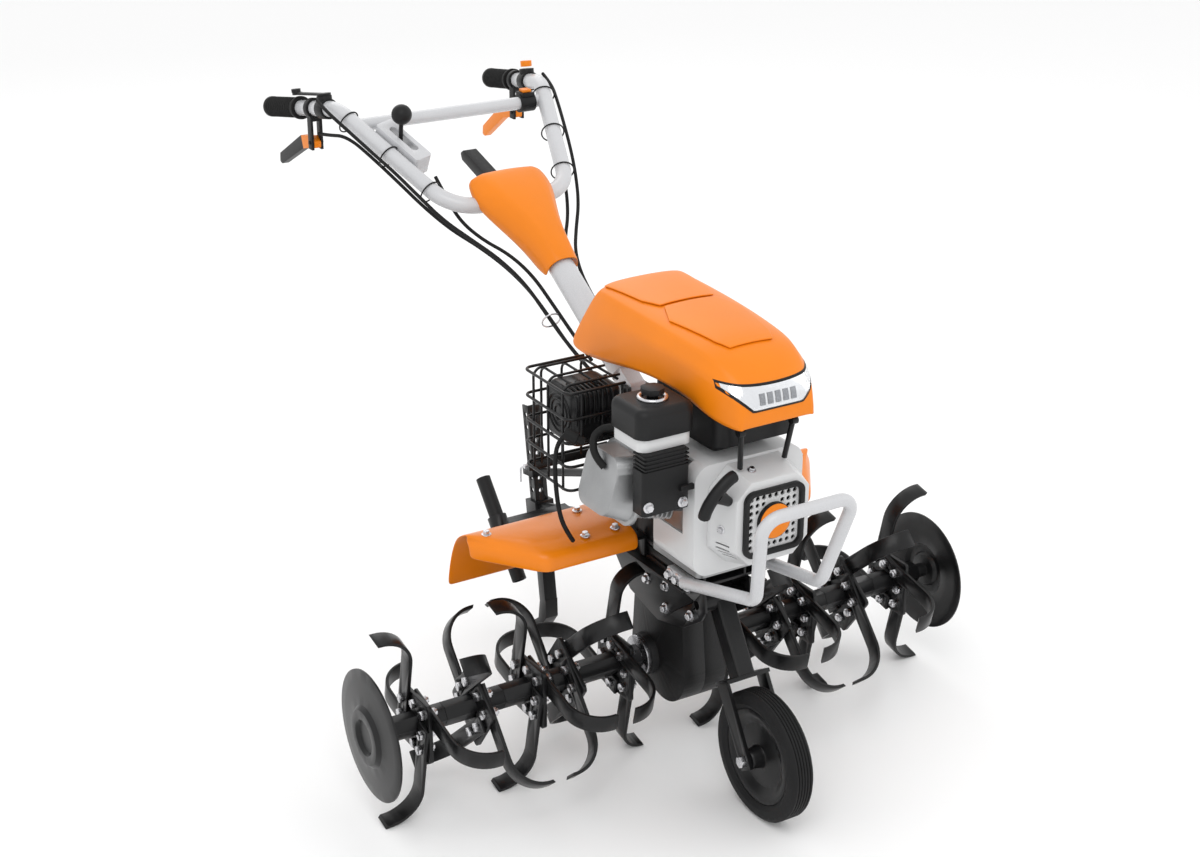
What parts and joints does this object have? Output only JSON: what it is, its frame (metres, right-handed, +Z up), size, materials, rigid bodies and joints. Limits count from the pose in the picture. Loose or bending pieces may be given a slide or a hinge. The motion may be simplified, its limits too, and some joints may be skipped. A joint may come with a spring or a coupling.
{
  "type": "tiller",
  "caption": "Petrol motor hoe with a single-cylinder engine, worm gear case, bladed tine rotor, front wheel, drag stake, bonnet and a swivelling handlebar.",
  "frame": {"origin": "on the ground, in the middle of the machine's width and length", "axes": "+Z up, the machine's front towards -Y and its operator at +Y, +X across towards the side away from the engine's cylinder"},
  "size_m": [1.05, 1.3295, 0.9151],
  "materials": {
    "orange_paint": "gloss",
    "orange_plastic": "satin",
    "grey_paint": "gloss",
    "white_plastic": "satin",
    "black_plastic": "satin",
    "black_paint": "satin",
    "black_rubber": "matte",
    "tyre_rubber": "matte",
    "cast_aluminium": "cast",
    "zinc_steel": "zinc plated",
    "steel": "machined",
    "cast_iron": "painted cast",
    "clear_lens": "clear"
  },
  "bodies": {
    "frame": {"chassis_rails": "black_paint", "chassis_cheeks": "black_paint", "column_bracket": "black_paint", "bumper": "grey_paint", "gear_case": "cast_iron", "clutch_housing": "cast_iron", "crankcase": "cast_aluminium", "cylinder": "cast_aluminium", "rocker_cover": "cast_aluminium", "fan_housing": "white_plastic", "recoil_cover": "white_plastic", "grille_frame": "black_plastic", "fuel_tank": "black_plastic", "hood_struts": "black_paint", "carburettor": "black_plastic", "filter_base": "white_plastic", "filter_cover": "black_plastic", "muffler": "black_paint", "muffler_guard": "black_paint", "spark_plug": "black_rubber", "fenders": "orange_paint", "fender_brackets": "black_paint", "hitch": "black_paint", "support_tube": "black_plastic"},
    "rotor": {"tine_axle": "steel", "tine_tubes": "black_paint", "tine_blades": "black_paint", "tine_bolts": "zinc_steel", "plant_discs": "black_paint"},
    "worm": {"worm_shaft": "steel"},
    "crank": {"crankshaft": "steel", "flywheel": "cast_aluminium"},
    "piston": {"piston": "cast_aluminium"},
    "wheel_arm": {"wheel_arm": "black_paint", "wheel_axle": "zinc_steel"},
    "wheel": {"tyre": "tyre_rubber", "wheel_rim": "black_paint"},
    "swivel": {"swivel_head": "black_paint"},
    "steering": {"column": "grey_paint", "handlebar": "grey_paint", "grips": "black_rubber", "control_brackets": "black_plastic", "shift_box": "grey_paint", "console_cover": "orange_plastic", "control_cables": "black_rubber"},
    "clutch_lever": {"clutch_lever": "orange_plastic"},
    "reverse_lever": {"reverse_lever": "orange_plastic"},
    "throttle_lever": {"throttle_lever": "black_plastic"},
    "stop_button": {"stop_button": "orange_plastic"},
    "light_switch": {"light_switch": "orange_plastic"},
    "shift_lever": {"shift_lever": "black_plastic"},
    "swivel_lever": {"swivel_lever": "black_plastic"},
    "recoil_handle": {"recoil_handle": "black_plastic"},
    "choke_lever": {"choke_lever": "black_plastic"},
    "fuel_cap": {"fuel_cap": "black_plastic"},
    "filter_knob": {"filter_knob": "black_plastic"},
    "stake": {"drag_stake": "black_paint", "stake_pin": "zinc_steel"},
    "hood": {"hood": "orange_plastic", "headlight": "clear_lens"}
  },
  "joints": [
    {"name": "rotor_spin", "type": "hinge", "parent": "frame", "child": "rotor", "pos_m": [0, -0.295, 0.157], "axis": [1, 0, 0], "continuous": true},
    {"name": "worm_spin", "type": "hinge", "parent": "frame", "child": "worm", "pos_m": [0, -0.34, 0.157], "axis": [0, 0, 1], "continuous": true},
    {"name": "crank_spin", "type": "hinge", "parent": "frame", "child": "crank", "pos_m": [0, -0.42, 0.484], "axis": [0, 1, 0], "continuous": true},
    {"name": "piston_slide", "type": "slide", "parent": "frame", "child": "piston", "axis": [-0.9659, 0, 0.2588], "range_m": [0, 0.036]},
    {"name": "wheel_arm_swing", "type": "hinge", "parent": "frame", "child": "wheel_arm", "pos_m": [0, -0.434, 0.304], "axis": [-1, 0, 0], "range_deg": [0, 42]},
    {"name": "wheel_spin", "type": "hinge", "parent": "wheel_arm", "child": "wheel", "pos_m": [0, -0.558, 0.1], "axis": [1, 0, 0], "continuous": true},
    {"name": "column_swivel", "type": "hinge", "parent": "frame", "child": "swivel", "pos_m": [0, -0.19, 0.52], "axis": [0, 0, 1], "range_deg": [-25, 25]},
    {"name": "column_tilt", "type": "hinge", "parent": "swivel", "child": "steering", "pos_m": [0, -0.19, 0.556], "axis": [1, 0, 0], "range_deg": [-10, 8]},
    {"name": "clutch_squeeze", "type": "hinge", "parent": "steering", "child": "clutch_lever", "pos_m": [-0.205, 0.515, 0.816], "axis": [1, 0, 0], "range_deg": [0, 16], "stiffness_Nm_per_rad": 3, "springref_deg": -8.59},
    {"name": "reverse_squeeze", "type": "hinge", "parent": "steering", "child": "reverse_lever", "pos_m": [0.205, 0.543, 0.812], "axis": [1, 0, 0], "range_deg": [0, 16], "stiffness_Nm_per_rad": 3, "springref_deg": -8.59},
    {"name": "throttle_turn", "type": "hinge", "parent": "steering", "child": "throttle_lever", "pos_m": [-0.19997, 0.476, 0.88136], "axis": [-0.0169, 0.1662, 0.9859], "range_deg": [0, 40]},
    {"name": "stop_press", "type": "slide", "parent": "steering", "child": "stop_button", "axis": [-0.0169, -0.1662, -0.9859], "range_m": [0, 0.0035], "stiffness_N_per_m": 400, "springref_m": -0.002},
    {"name": "light_slide", "type": "slide", "parent": "steering", "child": "light_switch", "axis": [-1, 0, 0], "range_m": [0, 0.004]},
    {"name": "gear_shift", "type": "hinge", "parent": "steering", "child": "shift_lever", "pos_m": [-0.12568, 0.34699, 0.82597], "axis": [0.9526, 0.2706, 0.1392], "range_deg": [-18, 18]},
    {"name": "swivel_release", "type": "hinge", "parent": "steering", "child": "swivel_lever", "pos_m": [0, 0.232, 0.775], "axis": [1, 0, 0], "range_deg": [0, 12], "stiffness_Nm_per_rad": 2, "springref_deg": -11.46},
    {"name": "starter_pull", "type": "slide", "parent": "frame", "child": "recoil_handle", "axis": [-0.7998, -0.2999, 0.5199], "range_m": [0, 0.3], "stiffness_N_per_m": 25, "springref_m": -0.1},
    {"name": "choke_slide", "type": "slide", "parent": "frame", "child": "choke_lever", "axis": [1, 0, 0], "range_m": [0, 0.012]},
    {"name": "fuel_cap_turn", "type": "hinge", "parent": "frame", "child": "fuel_cap", "pos_m": [0, -0.43, 0.66], "axis": [0, 0, 1], "range_deg": [0, 90]},
    {"name": "filter_knob_turn", "type": "hinge", "parent": "frame", "child": "filter_knob", "pos_m": [-0.141, -0.46, 0.67], "axis": [0, 0, 1], "range_deg": [0, 360]},
    {"name": "stake_slide", "type": "slide", "parent": "frame", "child": "stake", "axis": [0, 0.1478, 0.989], "range_m": [0, 0.1]},
    {"name": "hood_open", "type": "hinge", "parent": "frame", "child": "hood", "pos_m": [0, -0.536, 0.618], "axis": [1, 0, 0], "range_deg": [0, 55]}
  ],
  "couplings": [
    {"joint": "worm_spin", "follows": "rotor_spin", "ratio": 20}
  ]
}
